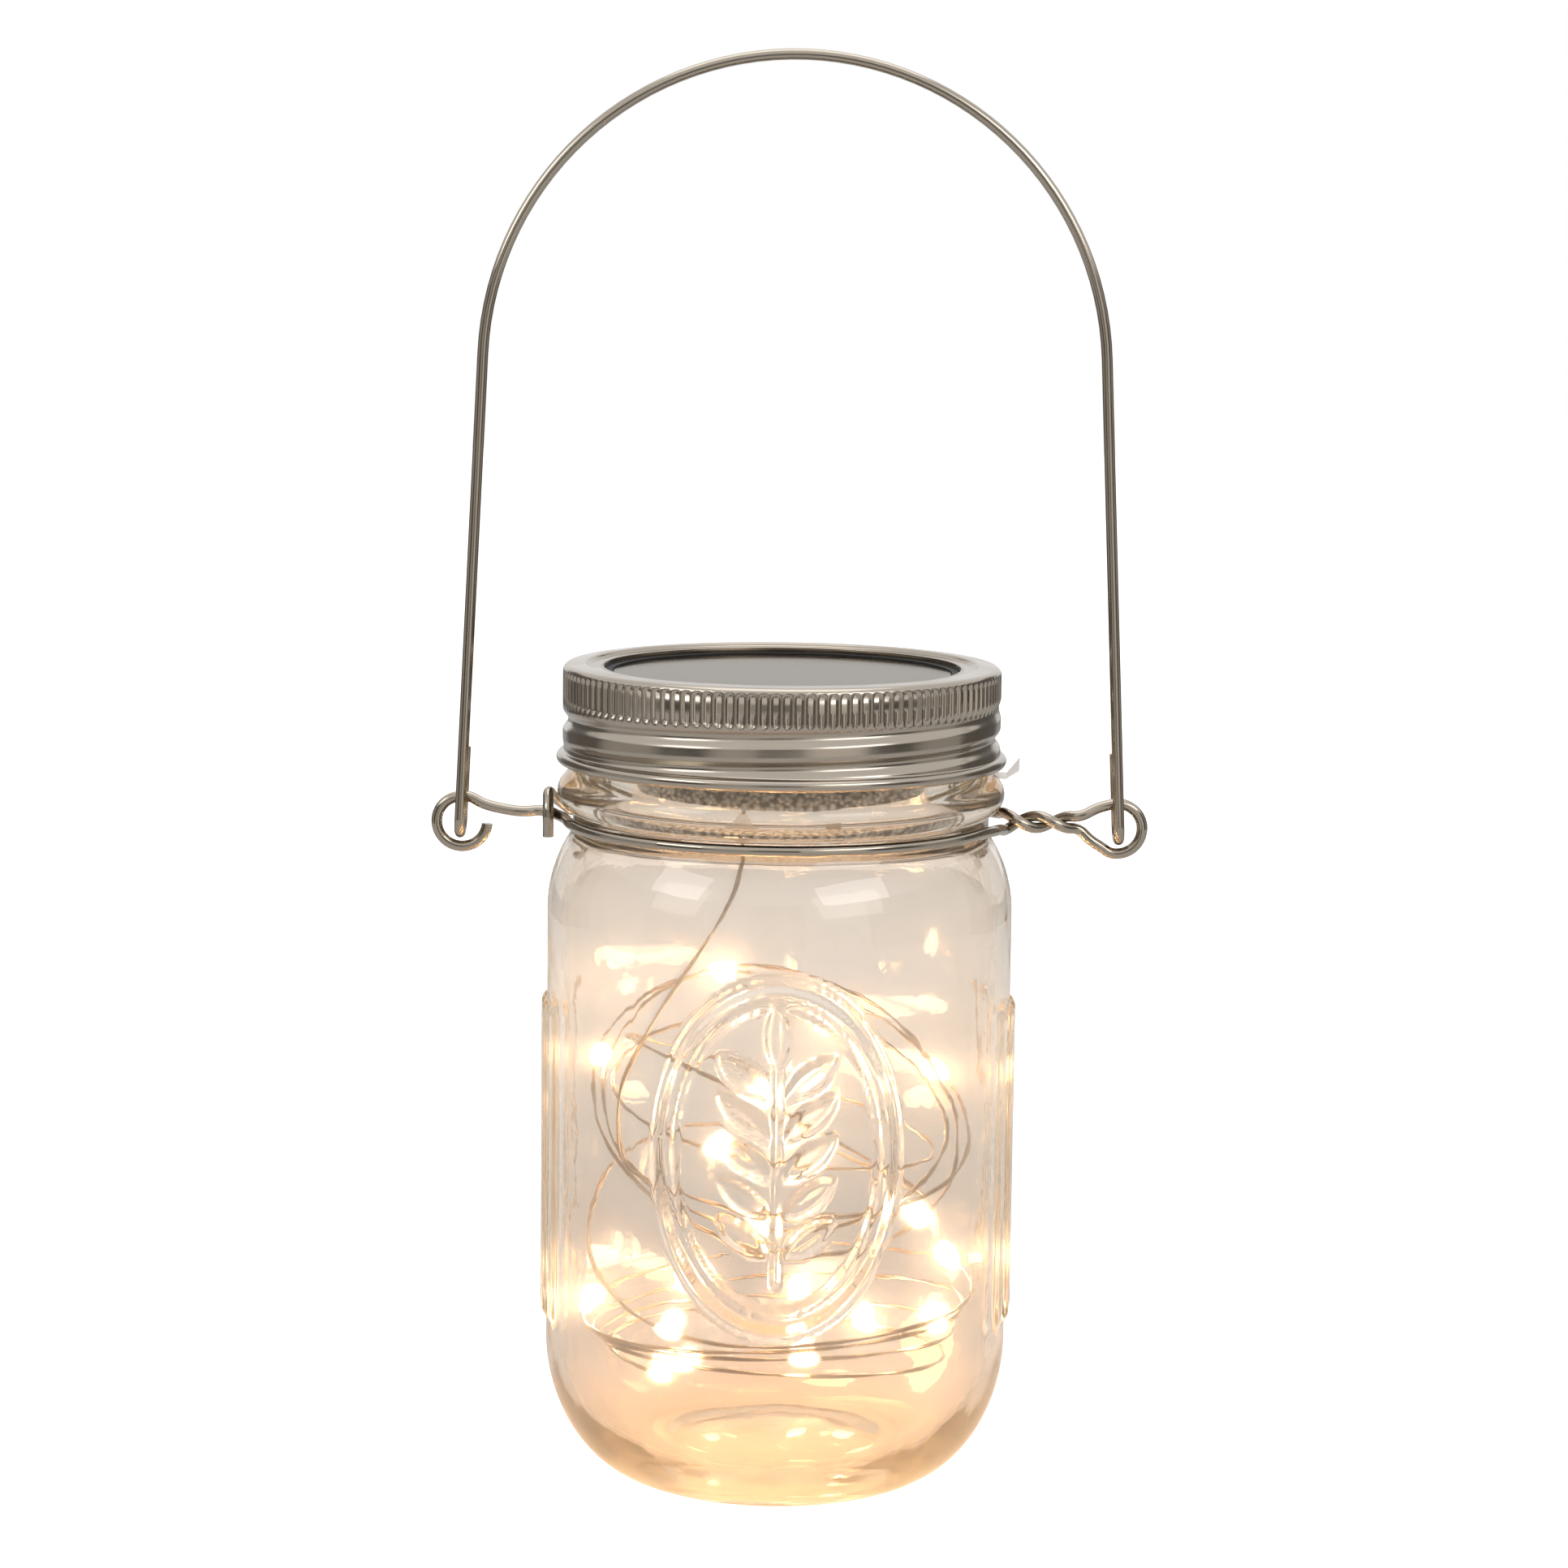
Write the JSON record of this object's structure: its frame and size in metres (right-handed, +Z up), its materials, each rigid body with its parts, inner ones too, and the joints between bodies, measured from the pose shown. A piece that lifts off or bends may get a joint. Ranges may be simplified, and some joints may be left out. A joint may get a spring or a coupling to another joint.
{
  "type": "mason jar lantern",
  "caption": "Glass screw-top jar lantern with a solar lid, fairy lights looped inside, and a swinging wire carrying handle on a neck wire.",
  "frame": {"origin": "centre of the ring that the jar stands on", "axes": "+Z up along the jar's axis, +X towards the twisted eye of the neck wire, -Y towards the viewer of the front"},
  "size_m": [0.1216, 0.079, 0.2421],
  "materials": {
    "jar_glass": "clear pressed glass",
    "steel_wire": "bright drawn wire",
    "clear_film": "thin clear film",
    "band_tinplate": "satin tinplate",
    "gasket_rubber": "soft rubber",
    "puck_plastic": "pebbled moulded plastic",
    "screw_steel": "nickel plate",
    "cell_silicon": "dark silicon",
    "panel_resin": "clear potting resin",
    "board_green": "solder mask",
    "board_black": "moulded plastic",
    "battery_wrap": "shrink sleeve",
    "light_wire": "enamelled silver wire",
    "light_resin": "clear resin drop over a warm light"
  },
  "bodies": {
    "jar": {"glass_jar": "jar_glass", "neck_wire": "steel_wire", "pull_tab": "clear_film"},
    "handle": {"bail_handle": "steel_wire"},
    "insert": {"lid_gasket": "gasket_rubber", "puck_housing": "puck_plastic", "puck_base": "puck_plastic", "battery_door": "puck_plastic", "base_screw_1": "screw_steel", "base_screw_2": "screw_steel", "base_screw_3": "screw_steel", "solar_cell": "cell_silicon", "cell_busbars": "screw_steel", "panel_cover": "panel_resin", "circuit_board": "board_green", "board_parts": "board_black", "battery_cell": "battery_wrap", "contact_plate": "screw_steel", "spring_plate": "screw_steel", "contact_spring": "screw_steel", "switch_body": "board_black", "wire_grommet": "gasket_rubber", "light_wire_drop": "light_wire", "light_wire_coil": "light_wire", "led_beads": "light_resin"},
    "band": {"lid_band": "band_tinplate"},
    "switch": {"switch_slider": "board_black"}
  },
  "joints": [
    {"name": "bail_swing", "type": "hinge", "parent": "jar", "child": "handle", "pos_m": [0.0015, 0, 0.1165], "axis": [1, 0, 0], "range_deg": [-140, 140]},
    {"name": "lid_lift", "type": "slide", "parent": "jar", "child": "insert", "axis": [0, 0, 1], "range_m": [0, 0.00763]},
    {"name": "band_turn", "type": "hinge", "parent": "insert", "child": "band", "pos_m": [0, 0, 0.13], "axis": [0, 0, 1], "range_deg": [0, 540]},
    {"name": "switch_slide", "type": "slide", "parent": "insert", "child": "switch", "axis": [1, 0, 0], "range_m": [0, 0.0024]}
  ],
  "couplings": [
    {"joint": "lid_lift", "follows": "band_turn", "m_per_rad": 0.00080851}
  ]
}
